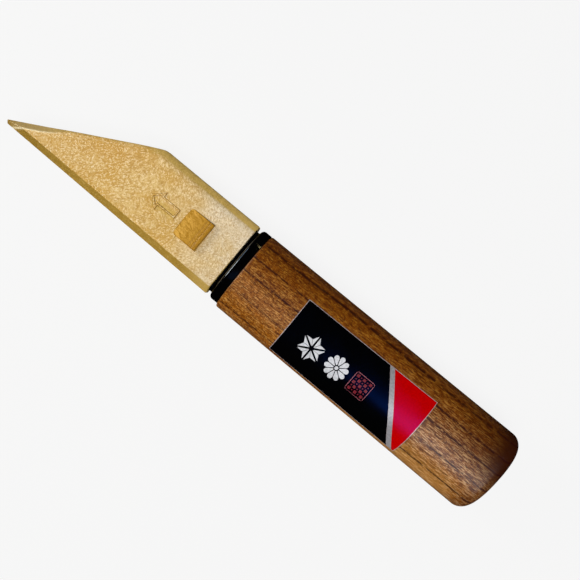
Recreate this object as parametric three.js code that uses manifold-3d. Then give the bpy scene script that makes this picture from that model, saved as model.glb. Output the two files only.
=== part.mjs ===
// A capped Japanese-style skiving knife (kiridashi): a single-bevel laminated blade with a slanted edge,
// a black moulded ferrule, a one-piece oval wood handle with a foil label, and a pull-off moulded cap.
//
// Millimetres. +X points to the blade's tip, +Y to the spine, +Z out of the labelled face. The origin is
// under the middle of the whole knife, on the surface that the handle's underside rests on.

import * as THREE from "three";
import { mergeVertices } from "three/addons/utils/BufferGeometryUtils.js";
import Module from "manifold-3d";

// ---------------------------------------------------------------- driving dimensions

const KNIFE_LENGTH = 192.6; // cap tip to butt
const HANDLE_THICKNESS = 17.2;
const AXIS_Z = HANDLE_THICKNESS / 2; // height of the plane that halves the blade and the cap

// Handle: oval bar, a little wider at the butt, with a slightly flattened underside.
const HANDLE_FRONT_X = 7.52;
const HANDLE_BUTT_X = -KNIFE_LENGTH / 2;
const HANDLE_WIDTH_FRONT = 28.6;
const HANDLE_WIDTH_BUTT = 30;
const HANDLE_OVAL_POWER = 2.35; // 2 is an ellipse, larger is squarer
const HANDLE_UNDERSIDE_EXTRA = 0.13; // depth that the flat underside takes off the oval
const HANDLE_FRONT_CHAMFER = 0.6;
const HANDLE_BUTT_SAG = 1.6; // how far the butt bulges
const HANDLE_BUTT_RADIUS = 2.9; // rounding of the butt's corners
const HANDLE_BUTT_SKEW = 0.046; // slope of the butt, which reaches further on the edge side
const HANDLE_SECTION_POINTS = 48;

// Ferrule: neck that the cap grips, flange against the handle, spigot glued into the handle.
const FERRULE_CENTRE_Y = -0.4;
const FLANGE_FRONT_X = 11.1;
const FLANGE_WIDTH = 27.65;
const FLANGE_THICKNESS = 15.7;
const FLANGE_ROUNDING = 1.2;
const NECK_FRONT_X = 23.4;
const NECK_CLEARANCE = 0.2; // between the neck and the cap's inside
const NECK_LEAD_IN = 0.8; // chamfer at the neck's front
const NECK_GROOVE = { edge: 0.15, spine: 0.1, face: 0.15 };
const SPIGOT_LENGTH = 14;
const SPIGOT_WIDTH = 18;
const SPIGOT_THICKNESS = 8;

// Cap: flat hollow sleeve in the blade's outline, drafted thinner toward its tip.
const CAP_MOUTH_X = 12.45;
const CAP_SPINE_Y = 13.12; // at the mouth
const CAP_SPINE_SLOPE = -0.01638;
const CAP_EDGE_Y = -14.13;
const CAP_SHOULDER_X = 50.8; // where the slanted side leaves the edge side
const CAP_SLANT_SLOPE = 0.545;
const CAP_TIP_RADIUS = 0.68;
const CAP_SHOULDER_RADIUS = 2;
const CAP_MOUTH_RADIUS = 0.25;
const CAP_HALF_THICKNESS = 4.8;
const CAP_THICKNESS_LOSS = 0.145; // part of the thickness lost from mouth to tip
const CAP_BEVEL_HEIGHT = 2.9;
const CAP_BEVEL = { spine: 2.4, slant: 2.1, edge: 3.3 }; // bevel widths seen from above
const CAP_EDGE_BEVEL_FLATNESS = 0.5; // 0 is a quarter round, 1 a flat bevel
const CAP_FACE_CORNER_SCALE = 0.3; // corner radius on the face, as a share of the one on the side
const CAP_WALL = { spine: 1.16, slant: 2.2, edge: 1.28, face: 1.25 };
const CAP_HOLLOW_BEVEL = { width: 1.5, height: 1.6 };
const CAP_HOLLOW_CORNER_SCALE = 0.5;

// Thumb pad moulded on the cap's labelled face: a ramp that rises toward the mouth and ends in a wall,
// with two ribs beside the wall. Its profile is [distance from the wall, share of the height].
const PAD = { mouthX: 23.42, tipX: 32.4, lowY: -5.4, highY: 5.1, height: 1.5 };
const PAD_TOE = 0.02; // height of the ramp's start
const PAD_PROFILE = [
  [5.6, 0.42],
  [2.9, 0.82],
  [2.4, 0.68],
  [1.8, 0.94],
  [1.2, 0.78],
  [0.7, 1],
  [0.25, 1],
  [0, 0.85],
];

// Outline arrow moulded on the same face, pointing to the tip.
const ARROW = { tipX: 44.6, headX: 41.7, tailX: 35.1, midY: -0.45, head: 2.75, shaft: 1.4 };
const ARROW_LINE = 0.55; // width of the raised line
const ARROW_RISE = 0.35;
const ARROW_MITRE = { tip: 1.4, barb: 1.6 }; // how far the line's corners stand out, in half widths

const RELIEF_ROOT = 0.6; // how deep the pad and the arrow are sunk in the cap's wall

// Blade: laminated plate with one bevel, and a tapered tang.
const BLADE_THICKNESS = 3;
const BLADE_SPINE_Y = 9.9;
const BLADE_EDGE_Y = -11;
const BLADE_TIP_X = 88.3;
const BLADE_TIP_Y = 9.7;
const BLADE_TIP_CHAMFER = 0.6;
const BLADE_SHOULDER_X = 13.6;
const BLADE_BEVEL_WIDTH = 9.4;
const BLADE_LAND = 0.12; // thickness left along the cutting edge
const STEEL_THICKNESS = 0.95;
const STEEL_START_X = 25.4;
const TANG_END_X = -52.5;
const TANG_WIDTH_FRONT = 11;
const TANG_WIDTH_END = 7;
const TANG_POINT = 3; // length of the tang's pointed end

// Resin bedding that fixes the tang in the handle.
const BEDDING_END_X = -56.5;
const BEDDING_WIDTH = 13.4;
const BEDDING_THICKNESS = 6.6;

// Foil label wrapped over the handle's upper face toward the spine.
const LABEL = { frontX: -14.25, backX: -65, firstPoint: 3, lastPoint: 15, gap: 0.1, thickness: 0.16 };

const FIT_GAP = 0.15; // clearance round pieces that are glued or bedded
const CUT_MARGIN = 1; // how far a cutting body reaches past what it cuts

// ---------------------------------------------------------------- geometry helpers

const wasm = await Module();
wasm.setup();

// A closed body through rings of [x, y, z] points, all with the same count. The two end rings are
// triangulated flat, seen along the axis named by the two coordinates in `plane`.
function loft(rings, plane) {
  const count = rings[0].length;
  const positions = rings.flat(2);
  const index = [];
  for (let r = 0; r + 1 < rings.length; r++) {
    for (let i = 0; i < count; i++) {
      const j = (i + 1) % count;
      const low = r * count;
      const high = low + count;
      index.push(low + i, low + j, high + j, low + i, high + j, high + i);
    }
  }
  const [u, v] = plane;
  for (const [r, reversed] of [[0, true], [rings.length - 1, false]]) {
    const contour = rings[r].map((p) => new THREE.Vector2(p[u], p[v]));
    const turned = reversed !== THREE.ShapeUtils.isClockWise(contour);
    for (const [a, b, c] of THREE.ShapeUtils.triangulateShape(contour, [])) {
      const base = r * count;
      index.push(base + a, base + (turned ? c : b), base + (turned ? b : c));
    }
  }
  const geometry = new THREE.BufferGeometry();
  geometry.setAttribute("position", new THREE.Float32BufferAttribute(positions, 3));
  geometry.setIndex(index);
  return geometry;
}

// The manifold-3d solid of a closed geometry.
function solid(geometry) {
  const bare = geometry.clone();
  bare.deleteAttribute("normal");
  bare.deleteAttribute("uv");
  const merged = mergeVertices(bare, 1e-4);
  const vertProperties = new Float32Array(merged.attributes.position.array);
  const triVerts = new Uint32Array(merged.index.array);
  const made = new wasm.Manifold(new wasm.Mesh({ numProp: 3, vertProperties, triVerts }));
  if (made.volume() > 0) return made;
  for (let i = 0; i < triVerts.length; i += 3) {
    triVerts.set([triVerts[i], triVerts[i + 2], triVerts[i + 1]], i);
  }
  return new wasm.Manifold(new wasm.Mesh({ numProp: 3, vertProperties, triVerts }));
}

// The three.js geometry of a solid.
function geometryOf(made) {
  const { vertProperties, triVerts } = made.getMesh();
  const geometry = new THREE.BufferGeometry();
  geometry.setAttribute("position", new THREE.BufferAttribute(vertProperties, 3));
  geometry.setIndex(new THREE.BufferAttribute(triVerts, 1));
  geometry.computeVertexNormals();
  return geometry;
}

// A box between two corners.
function box(x0, x1, y0, y1, z0, z1) {
  const geometry = new THREE.BoxGeometry(x1 - x0, y1 - y0, z1 - z0);
  geometry.translate((x0 + x1) / 2, (y0 + y1) / 2, (z0 + z1) / 2);
  return solid(geometry);
}

// An outline of [x, y] points, extruded from z0 to z1.
function plate(points, z0, z1) {
  const shape = new THREE.Shape(points.map(([x, y]) => new THREE.Vector2(x, y)));
  const geometry = new THREE.ExtrudeGeometry(shape, { depth: z1 - z0, bevelEnabled: false });
  geometry.translate(0, 0, z0);
  return solid(geometry);
}

// Where two lines, each a point and a direction in the XY plane, cross.
function crossing(a, b) {
  const det = a.dx * b.dy - a.dy * b.dx;
  const t = ((b.x - a.x) * b.dy - (b.y - a.y) * b.dx) / det;
  return new THREE.Vector2(a.x + a.dx * t, a.y + a.dy * t);
}

// The points of an arc of the given radius that rounds the corner between two neighbours.
function roundedCorner(before, corner, after, radius, steps) {
  const inDir = before.clone().sub(corner).normalize();
  const outDir = after.clone().sub(corner).normalize();
  const halfAngle = Math.acos(inDir.dot(outDir)) / 2;
  const centre = corner.clone().add(inDir.clone().add(outDir).setLength(radius / Math.sin(halfAngle)));
  const start = corner.clone().addScaledVector(inDir, radius / Math.tan(halfAngle)).sub(centre);
  const end = corner.clone().addScaledVector(outDir, radius / Math.tan(halfAngle)).sub(centre);
  let sweep = end.angle() - start.angle();
  if (sweep > Math.PI) sweep -= 2 * Math.PI;
  if (sweep < -Math.PI) sweep += 2 * Math.PI;
  const points = [];
  for (let i = 0; i <= steps; i++) {
    const point = start.clone().rotateAround(new THREE.Vector2(), (sweep * i) / steps).add(centre);
    points.push(point);
  }
  return points;
}

// ---------------------------------------------------------------- handle

// The oval section at a place along the handle, as [y, z] offsets from its axis.
function handleSection(x, grow = 0) {
  const along = (HANDLE_FRONT_X - x) / (HANDLE_FRONT_X - HANDLE_BUTT_X);
  const halfWidth = THREE.MathUtils.lerp(HANDLE_WIDTH_FRONT, HANDLE_WIDTH_BUTT, along) / 2 + grow;
  const upper = AXIS_Z + grow;
  const lower = AXIS_Z + HANDLE_UNDERSIDE_EXTRA + grow;
  const power = 2 / HANDLE_OVAL_POWER;
  const points = [];
  for (let i = 0; i < HANDLE_SECTION_POINTS; i++) {
    const angle = (2 * Math.PI * i) / HANDLE_SECTION_POINTS;
    const y = halfWidth * Math.sign(Math.cos(angle)) * Math.abs(Math.cos(angle)) ** power;
    const rise = Math.sign(Math.sin(angle)) * Math.abs(Math.sin(angle)) ** power;
    const z = rise > 0 ? upper * rise : Math.max(lower * rise, -upper);
    points.push([y, z]);
  }
  return points;
}

function handleRing(x, scaleY = 1, scaleZ = scaleY, sectionX = x) {
  return handleSection(sectionX).map(([y, z]) => [x, y * scaleY, AXIS_Z + z * scaleZ]);
}

function makeHandle() {
  const chamfer = HANDLE_FRONT_CHAMFER;
  const rings = [
    handleRing(HANDLE_FRONT_X, 1 - chamfer / (HANDLE_WIDTH_FRONT / 2), 1 - chamfer / AXIS_Z),
    handleRing(HANDLE_FRONT_X - chamfer),
  ];
  // The butt: the section shrinks toward the axis while x follows a rounded corner and a shallow dome,
  // which the skew tilts. Tilting also pushes the dome's far point out, by `overshoot`.
  const halfWidth = HANDLE_WIDTH_BUTT / 2;
  const overshoot = (HANDLE_BUTT_SKEW * halfWidth) ** 2 / (4 * HANDLE_BUTT_SAG);
  const buttRing = (scale, corner) => {
    const x = HANDLE_BUTT_X + overshoot + HANDLE_BUTT_SAG * scale ** 2 + corner;
    return handleRing(x, scale).map(([px, py, pz]) => [px + HANDLE_BUTT_SKEW * py, py, pz]);
  };
  const flatPart = 1 - HANDLE_BUTT_RADIUS / halfWidth;
  for (const angle of [0, 18, 36, 54, 72, 90]) {
    const turned = THREE.MathUtils.degToRad(angle);
    const scale = flatPart + (1 - flatPart) * Math.cos(turned);
    rings.push(buttRing(scale, HANDLE_BUTT_RADIUS * (1 - Math.sin(turned))));
  }
  for (const scale of [0.5, 0.25, 0.02]) {
    rings.push(buttRing(scale, 0));
  }
  const spigotEnd = HANDLE_FRONT_X - SPIGOT_LENGTH - FIT_GAP;
  const spigotHalf = SPIGOT_WIDTH / 2 + FIT_GAP;
  const spigotRise = SPIGOT_THICKNESS / 2 + FIT_GAP;
  const spigotHole = box(
    spigotEnd, HANDLE_FRONT_X + CUT_MARGIN,
    FERRULE_CENTRE_Y - spigotHalf, FERRULE_CENTRE_Y + spigotHalf,
    AXIS_Z - spigotRise, AXIS_Z + spigotRise,
  );
  const tangHole = box(
    BEDDING_END_X, spigotEnd + CUT_MARGIN,
    FERRULE_CENTRE_Y - BEDDING_WIDTH / 2, FERRULE_CENTRE_Y + BEDDING_WIDTH / 2,
    AXIS_Z - BEDDING_THICKNESS / 2, AXIS_Z + BEDDING_THICKNESS / 2,
  );
  return solid(loft(rings, [1, 2])).subtract(spigotHole.add(tangHole));
}

// ---------------------------------------------------------------- cap

// The cap's outline in plan, moved inward by the given distances, with its corners rounded.
function capOutline(inset, mouthX, softness) {
  const mouth = { x: mouthX, y: 0, dx: 0, dy: 1 };
  const spine = { x: CAP_MOUTH_X, y: CAP_SPINE_Y - inset.spine, dx: 1, dy: CAP_SPINE_SLOPE };
  const slantShift = inset.slant * Math.hypot(1, CAP_SLANT_SLOPE);
  const slant = { x: CAP_SHOULDER_X, y: CAP_EDGE_Y + slantShift, dx: 1, dy: CAP_SLANT_SLOPE };
  const edge = { x: CAP_MOUTH_X, y: CAP_EDGE_Y + inset.edge, dx: 1, dy: 0 };
  const corners = [
    { at: crossing(mouth, edge), radius: CAP_MOUTH_RADIUS, steps: 1 },
    { at: crossing(edge, slant), radius: CAP_SHOULDER_RADIUS, steps: 4 },
    { at: crossing(slant, spine), radius: CAP_TIP_RADIUS, steps: 4 },
    { at: crossing(spine, mouth), radius: CAP_MOUTH_RADIUS, steps: 1 },
  ];
  return corners.flatMap((corner, i) => {
    const before = corners[(i + 3) % 4].at;
    const after = corners[(i + 1) % 4].at;
    return roundedCorner(before, corner.at, after, corner.radius * softness, corner.steps);
  });
}

function capDraft(x) {
  return 1 - (CAP_THICKNESS_LOSS * (x - CAP_MOUTH_X)) / (KNIFE_LENGTH / 2 - CAP_MOUTH_X);
}

// One level of a cap-shaped body: its outline lifted to a height that tapers with the draft.
function capLevel(inset, mouthX, height, softness) {
  return capOutline(inset, mouthX, softness).map((p) => [p.x, p.y, AXIS_Z + height * capDraft(p.x)]);
}

function makeCapShell() {
  const levels = [];
  const side = CAP_HALF_THICKNESS - CAP_BEVEL_HEIGHT;
  for (const angle of [0, 25, 50, 70, 90]) {
    const rise = Math.sin(THREE.MathUtils.degToRad(angle));
    const rounded = 1 - Math.cos(THREE.MathUtils.degToRad(angle));
    const inset = {
      spine: CAP_BEVEL.spine * rise,
      slant: CAP_BEVEL.slant * rise,
      edge: CAP_BEVEL.edge * THREE.MathUtils.lerp(rounded, rise, CAP_EDGE_BEVEL_FLATNESS),
    };
    const height = side + CAP_BEVEL_HEIGHT * rise;
    const softness = THREE.MathUtils.lerp(1, CAP_FACE_CORNER_SCALE, rise);
    levels.push(capLevel(inset, CAP_MOUTH_X, height, softness));
    levels.unshift(capLevel(inset, CAP_MOUTH_X, -height, softness));
  }
  return solid(loft(levels, [0, 1]));
}

function makeCapHollow() {
  const mouthX = CAP_MOUTH_X - CUT_MARGIN;
  const softness = CAP_HOLLOW_CORNER_SCALE;
  const { width, height } = CAP_HOLLOW_BEVEL;
  const half = CAP_HALF_THICKNESS - CAP_WALL.face;
  const bevelled = {
    spine: CAP_WALL.spine + width,
    slant: CAP_WALL.slant + width,
    edge: CAP_WALL.edge + width,
  };
  return solid(
    loft(
      [
        capLevel(bevelled, mouthX, -half, softness),
        capLevel(CAP_WALL, mouthX, height - half, 1),
        capLevel(CAP_WALL, mouthX, half - height, 1),
        capLevel(bevelled, mouthX, half, softness),
      ],
      [0, 1],
    ),
  );
}

function makeThumbPad() {
  const face = AXIS_Z + CAP_HALF_THICKNESS * capDraft(PAD.tipX);
  const top = PAD_PROFILE.map(([reach, share]) => [PAD.mouthX + reach, face + PAD.height * share]);
  const root = face - RELIEF_ROOT;
  const profile = [[PAD.tipX, root], [PAD.tipX, face + PAD_TOE], ...top, [PAD.mouthX, root]];
  const ring = (y) => profile.map(([x, z]) => [x, y, z]);
  return solid(loft([ring(PAD.lowY), ring(PAD.highY)], [0, 2]));
}

function makeArrow() {
  const { tipX, headX, tailX, midY, head, shaft } = ARROW;
  const outline = (grow) => [
    [tipX + grow * ARROW_MITRE.tip, midY],
    [headX - grow, midY + head + grow * ARROW_MITRE.barb],
    [headX - grow, midY + shaft + grow],
    [tailX - grow, midY + shaft + grow],
    [tailX - grow, midY - shaft - grow],
    [headX - grow, midY - shaft - grow],
    [headX - grow, midY - head - grow * ARROW_MITRE.barb],
  ];
  const low = AXIS_Z + CAP_HALF_THICKNESS * capDraft(tipX) - RELIEF_ROOT;
  const high = AXIS_Z + CAP_HALF_THICKNESS * capDraft(tailX) + ARROW_RISE;
  const outer = plate(outline(ARROW_LINE / 2), low, high);
  const inner = plate(outline(-ARROW_LINE / 2), low - CUT_MARGIN, high + CUT_MARGIN);
  return outer.subtract(inner);
}

function makeCap() {
  return makeCapShell().add(makeThumbPad()).add(makeArrow()).subtract(makeCapHollow());
}

// ---------------------------------------------------------------- blade

// Half of the tang's width at a place along it.
function tangHalf(x) {
  const along = (BLADE_SHOULDER_X - x) / (BLADE_SHOULDER_X - TANG_END_X);
  return THREE.MathUtils.lerp(TANG_WIDTH_FRONT, TANG_WIDTH_END, along) / 2;
}

// The whole blade before it is split into iron and steel: plate, bevel and tang.
function makeBlade() {
  const pointX = TANG_END_X + TANG_POINT;
  const edgeStartX = BLADE_TIP_X - (BLADE_TIP_Y - BLADE_EDGE_Y) / CAP_SLANT_SLOPE;
  const outline = [
    [BLADE_TIP_X, BLADE_TIP_Y],
    [BLADE_TIP_X - BLADE_TIP_CHAMFER, BLADE_SPINE_Y],
    [BLADE_SHOULDER_X, BLADE_SPINE_Y],
    [BLADE_SHOULDER_X, FERRULE_CENTRE_Y + tangHalf(BLADE_SHOULDER_X)],
    [pointX, FERRULE_CENTRE_Y + tangHalf(pointX)],
    [TANG_END_X, FERRULE_CENTRE_Y],
    [pointX, FERRULE_CENTRE_Y - tangHalf(pointX)],
    [BLADE_SHOULDER_X, FERRULE_CENTRE_Y - tangHalf(BLADE_SHOULDER_X)],
    [BLADE_SHOULDER_X, BLADE_EDGE_Y],
    [edgeStartX, BLADE_EDGE_Y],
  ];
  const back = AXIS_Z - BLADE_THICKNESS / 2;
  const face = AXIS_Z + BLADE_THICKNESS / 2;
  const body = plate(outline, back, face);

  // The bevel is cut by a long wedge lying along the slanted edge, drawn with the edge along its own X.
  const slope = (face - back - BLADE_LAND) / BLADE_BEVEL_WIDTH;
  const over = 4; // how far the wedge reaches past the bevel on each side
  const section = [
    [-over, back + BLADE_LAND - slope * over],
    [BLADE_BEVEL_WIDTH + over, face + slope * over],
    [-over, face + slope * over],
  ];
  const ring = (x) => section.map(([y, z]) => [x, y, z]);
  const reach = BLADE_TIP_X - BLADE_SHOULDER_X;
  const wedge = loft([ring(-reach), ring(reach / 2)], [1, 2]);
  wedge.rotateZ(Math.atan(CAP_SLANT_SLOPE));
  wedge.translate(BLADE_TIP_X, BLADE_TIP_Y, 0);
  return body.subtract(solid(wedge));
}

// The hard steel layer along the blade's flat back.
function steelRegion(blade) {
  const back = AXIS_Z - BLADE_THICKNESS / 2;
  const layer = box(
    STEEL_START_X, BLADE_TIP_X + CUT_MARGIN,
    BLADE_EDGE_Y - CUT_MARGIN, BLADE_SPINE_Y + CUT_MARGIN,
    back - CUT_MARGIN, back + STEEL_THICKNESS,
  );
  return blade.intersect(layer);
}

// ---------------------------------------------------------------- ferrule

// A rectangle with cut corners, as [y, z] offsets, used for the neck's section.
function neckSection(lowY, highY, half) {
  const { width, height } = CAP_HOLLOW_BEVEL;
  return [
    [lowY, -half + height],
    [lowY + width, -half],
    [highY - width, -half],
    [highY, -half + height],
    [highY, half - height],
    [highY - width, half],
    [lowY + width, half],
    [lowY, half - height],
  ];
}

// The flange's oval section, shrunk by the given amount all round.
function flangeRing(x, shrink) {
  const halfWidth = FLANGE_WIDTH / 2 - shrink;
  const half = FLANGE_THICKNESS / 2 - shrink;
  const power = 2 / HANDLE_OVAL_POWER;
  const ring = [];
  for (let i = 0; i < HANDLE_SECTION_POINTS; i++) {
    const angle = (2 * Math.PI * i) / HANDLE_SECTION_POINTS;
    const y = halfWidth * Math.sign(Math.cos(angle)) * Math.abs(Math.cos(angle)) ** power;
    const z = half * Math.sign(Math.sin(angle)) * Math.abs(Math.sin(angle)) ** power;
    ring.push([x, FERRULE_CENTRE_Y + y, AXIS_Z + z]);
  }
  return ring;
}

function makeFerrule() {
  const flangeRings = [flangeRing(HANDLE_FRONT_X, 0)];
  for (const angle of [0, 22.5, 45, 67.5, 90]) {
    const turned = THREE.MathUtils.degToRad(angle);
    const x = FLANGE_FRONT_X - FLANGE_ROUNDING * (1 - Math.sin(turned));
    flangeRings.push(flangeRing(x, FLANGE_ROUNDING * (1 - Math.cos(turned))));
  }
  const flange = solid(loft(flangeRings, [1, 2]));

  // The neck: a relief groove beside the flange, then the tapered part that the cap grips.
  const lowY = CAP_EDGE_Y + CAP_WALL.edge + NECK_CLEARANCE;
  const highY = CAP_SPINE_Y - CAP_WALL.spine - NECK_CLEARANCE;
  const half = CAP_HALF_THICKNESS - CAP_WALL.face - NECK_CLEARANCE;
  const grooved = [lowY + NECK_GROOVE.edge, highY - NECK_GROOVE.spine, half - NECK_GROOVE.face];
  const taper = -CAP_SPINE_SLOPE * (NECK_FRONT_X - CAP_MOUTH_X);
  const frontHighY = highY - taper;
  const frontHalf = half - taper / 2;
  const leadIn = NECK_LEAD_IN;
  const neckRing = (x, ...size) => neckSection(...size).map(([y, z]) => [x, y, AXIS_Z + z]);
  const neck = solid(
    loft(
      [
        neckRing(HANDLE_FRONT_X + 1, ...grooved),
        neckRing(CAP_MOUTH_X, ...grooved),
        neckRing(CAP_MOUTH_X + NECK_GROOVE.edge, lowY, highY, half),
        neckRing(NECK_FRONT_X - leadIn, lowY, frontHighY, frontHalf),
        neckRing(NECK_FRONT_X, lowY + leadIn, frontHighY - leadIn, frontHalf - leadIn / 2),
      ],
      [1, 2],
    ),
  );
  const spigot = box(
    HANDLE_FRONT_X - SPIGOT_LENGTH, HANDLE_FRONT_X + 1,
    FERRULE_CENTRE_Y - SPIGOT_WIDTH / 2, FERRULE_CENTRE_Y + SPIGOT_WIDTH / 2,
    AXIS_Z - SPIGOT_THICKNESS / 2, AXIS_Z + SPIGOT_THICKNESS / 2,
  );

  // The blade's shoulders sit in a pocket in the neck, and the tang passes on through a narrower slot.
  const slotHalf = BLADE_THICKNESS / 2 + FIT_GAP;
  const pocket = box(
    BLADE_SHOULDER_X - FIT_GAP, NECK_FRONT_X + CUT_MARGIN,
    BLADE_EDGE_Y - FIT_GAP, BLADE_SPINE_Y + FIT_GAP,
    AXIS_Z - slotHalf, AXIS_Z + slotHalf,
  );
  const tangSlot = box(
    HANDLE_FRONT_X - SPIGOT_LENGTH - CUT_MARGIN, NECK_FRONT_X,
    FERRULE_CENTRE_Y - TANG_WIDTH_FRONT / 2 - FIT_GAP, FERRULE_CENTRE_Y + TANG_WIDTH_FRONT / 2 + FIT_GAP,
    AXIS_Z - slotHalf, AXIS_Z + slotHalf,
  );
  return flange.add(neck).add(spigot).subtract(pocket.add(tangSlot));
}

// ---------------------------------------------------------------- bedding and label

// Resin that fills the handle's deep hole round the tang.
function makeBedding() {
  const front = HANDLE_FRONT_X - SPIGOT_LENGTH - FIT_GAP;
  const block = box(
    BEDDING_END_X, front,
    FERRULE_CENTRE_Y - BEDDING_WIDTH / 2, FERRULE_CENTRE_Y + BEDDING_WIDTH / 2,
    AXIS_Z - BEDDING_THICKNESS / 2, AXIS_Z + BEDDING_THICKNESS / 2,
  );
  // The tang, grown a little on every side.
  const half = (x) => tangHalf(x) + FIT_GAP;
  const startX = front + CUT_MARGIN;
  const pointX = TANG_END_X - FIT_GAP + TANG_POINT;
  const hole = plate(
    [
      [startX, FERRULE_CENTRE_Y - half(startX)],
      [startX, FERRULE_CENTRE_Y + half(startX)],
      [pointX, FERRULE_CENTRE_Y + half(pointX)],
      [TANG_END_X - FIT_GAP, FERRULE_CENTRE_Y + FIT_GAP],
      [TANG_END_X - FIT_GAP, FERRULE_CENTRE_Y - FIT_GAP],
      [pointX, FERRULE_CENTRE_Y - half(pointX)],
    ],
    AXIS_Z - BLADE_THICKNESS / 2 - FIT_GAP,
    AXIS_Z + BLADE_THICKNESS / 2 + FIT_GAP,
  );
  return block.subtract(hole);
}

// A thin shell over part of the handle's section, lifted clear of it by the label's gap.
function makeLabel() {
  const strip = (x, grow) => handleSection(x, grow).slice(LABEL.firstPoint, LABEL.lastPoint + 1);
  const ring = (x) => {
    const inner = strip(x, LABEL.gap);
    const outer = strip(x, LABEL.gap + LABEL.thickness);
    return [...inner, ...outer.reverse()].map(([y, z]) => [x, y, AXIS_Z + z]);
  };
  return solid(loft([ring(LABEL.frontX), ring(LABEL.backX)], [1, 2]));
}

// ---------------------------------------------------------------- the assembly

const LOOKS = {
  wood: { color: 0x96592b, roughness: 0.45 },
  blackPlastic: { color: 0x0a0a0b, roughness: 0.2 },
  resin: { color: 0xb9a06a, roughness: 0.6 },
  iron: { color: 0x6f7174, roughness: 0.45, metalness: 1 },
  steel: { color: 0xc4c8cc, roughness: 0.22, metalness: 1 },
  foil: { color: 0x101012, roughness: 0.25 },
  capPlastic: { color: 0xd6b26e, roughness: 0.5 },
};

function piece(name, made, look) {
  const mesh = new THREE.Mesh(geometryOf(made), new THREE.MeshStandardMaterial(look));
  mesh.name = name;
  return mesh;
}

const blade = makeBlade();
const steel = steelRegion(blade);

const knife = new THREE.Group();
knife.name = "knife";
knife.add(
  piece("handle", makeHandle(), LOOKS.wood),
  piece("ferrule", makeFerrule(), LOOKS.blackPlastic),
  piece("tang_bedding", makeBedding(), LOOKS.resin),
  piece("blade_iron_body", blade.subtract(steel), LOOKS.iron),
  piece("blade_steel_edge", steel, LOOKS.steel),
  piece("label", makeLabel(), LOOKS.foil),
);

const cap = new THREE.Group();
cap.name = "cap";
cap.add(piece("sheath_cap", makeCap(), LOOKS.capPlastic));

const assembly = new THREE.Group();
assembly.add(knife, cap);

export default assembly;
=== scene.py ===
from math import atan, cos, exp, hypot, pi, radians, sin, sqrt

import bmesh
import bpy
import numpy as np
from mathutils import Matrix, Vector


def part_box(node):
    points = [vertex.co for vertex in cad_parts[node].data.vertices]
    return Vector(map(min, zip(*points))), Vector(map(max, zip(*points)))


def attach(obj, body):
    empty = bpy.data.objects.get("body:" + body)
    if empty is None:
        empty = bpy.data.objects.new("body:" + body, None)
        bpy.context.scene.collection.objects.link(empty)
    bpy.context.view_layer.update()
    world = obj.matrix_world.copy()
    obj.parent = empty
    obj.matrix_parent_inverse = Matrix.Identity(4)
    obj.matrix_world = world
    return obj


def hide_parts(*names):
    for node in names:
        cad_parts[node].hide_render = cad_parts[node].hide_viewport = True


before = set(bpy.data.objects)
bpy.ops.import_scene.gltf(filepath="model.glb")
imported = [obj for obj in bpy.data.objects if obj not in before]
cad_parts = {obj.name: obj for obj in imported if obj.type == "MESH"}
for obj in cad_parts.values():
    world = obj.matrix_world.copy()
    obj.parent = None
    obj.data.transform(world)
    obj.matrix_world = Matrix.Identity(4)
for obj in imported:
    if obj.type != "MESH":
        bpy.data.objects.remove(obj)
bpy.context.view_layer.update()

# Looks of a capped skiving knife: moulded cap, black ferrule, oval wood handle, printed foil label, and the
# laminated blade that shows once the cap is off. Lengths are in millimetres until a mesh is made, and in
# metres in materials, lights and camera.
# +X points to the tip, +Y to the spine, +Z out of the labelled face.

MM = 0.001
SHARP_DEGREES = 32


def box_mm(node):
    """Lowest and highest corner of a CAD node, in millimetres."""
    low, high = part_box(node)
    return np.array(low) / MM, np.array(high) / MM


CAP_LOW, CAP_HIGH = box_mm("sheath_cap")
HANDLE_LOW, HANDLE_HIGH = box_mm("handle")
FERRULE_LOW, FERRULE_HIGH = box_mm("ferrule")
LABEL_LOW, LABEL_HIGH = box_mm("label")
BEDDING_LOW, BEDDING_HIGH = box_mm("tang_bedding")
IRON_LOW, IRON_HIGH = box_mm("blade_iron_body")

AXIS_Z = (HANDLE_LOW[2] + HANDLE_HIGH[2]) / 2

# Handle
HANDLE_WIDTH_FRONT = 28.6
HANDLE_WIDTH_BUTT = 30.0
HANDLE_FRONT_X = HANDLE_HIGH[0]
HANDLE_BUTT_X = HANDLE_LOW[0]
OVAL_POWER = 2.35  # 2 is an ellipse; above it the sides are fuller
UNDERSIDE_EXTRA = 0.13  # what the flattened strip cuts off the oval's underside
BUTT_SAG = 1.6  # how far the butt's middle bulges
BUTT_RADIUS = 2.9
BUTT_SKEW = 0.046  # the butt leans by this much of the place across
FRONT_ROUNDING = 0.6
HOLE_HALF = np.array([9.15, 4.15])  # half width and height of the hole for the ferrule's spigot
HOLE_CHAMFER = 0.3

# Cap
MOUTH_X = CAP_LOW[0]
TIP_X = CAP_HIGH[0]
SPINE_Y = CAP_HIGH[1]
SPINE_SLOPE = -0.01638
EDGE_Y = CAP_LOW[1]
SHOULDER_X = MOUTH_X + 38.35
CAP_DRAFT_LENGTH = 83.85
SLANT_SLOPE = 0.545
SLANT_STRETCH = hypot(1, SLANT_SLOPE)
CAP_HALF = 4.8  # half the thickness at the mouth
THICKNESS_LOSS = 0.145  # share of it lost by the tip
BEVEL_HEIGHT = 2.9
SPINE_BEVEL = 2.65  # width at the mouth
SPINE_BEVEL_LOSS = 0.5
EDGE_BEVEL = 3.5
SLANT_BEVEL_LOSS = 1.9  # how much narrower and lower the low bevel is on the slant
TIP_BEVEL_GAIN = 0.9  # how much of that it regains near the tip
TIP_RADIUS = 0.68
MOUTH_ROUNDING = 0.28
FACE_WALL = 1.25
SPINE_WALL = 1.16
EDGE_WALL = 1.28
SLANT_WALL = 2.2
HOLLOW_BEVEL_WIDTH = 1.5
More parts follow.
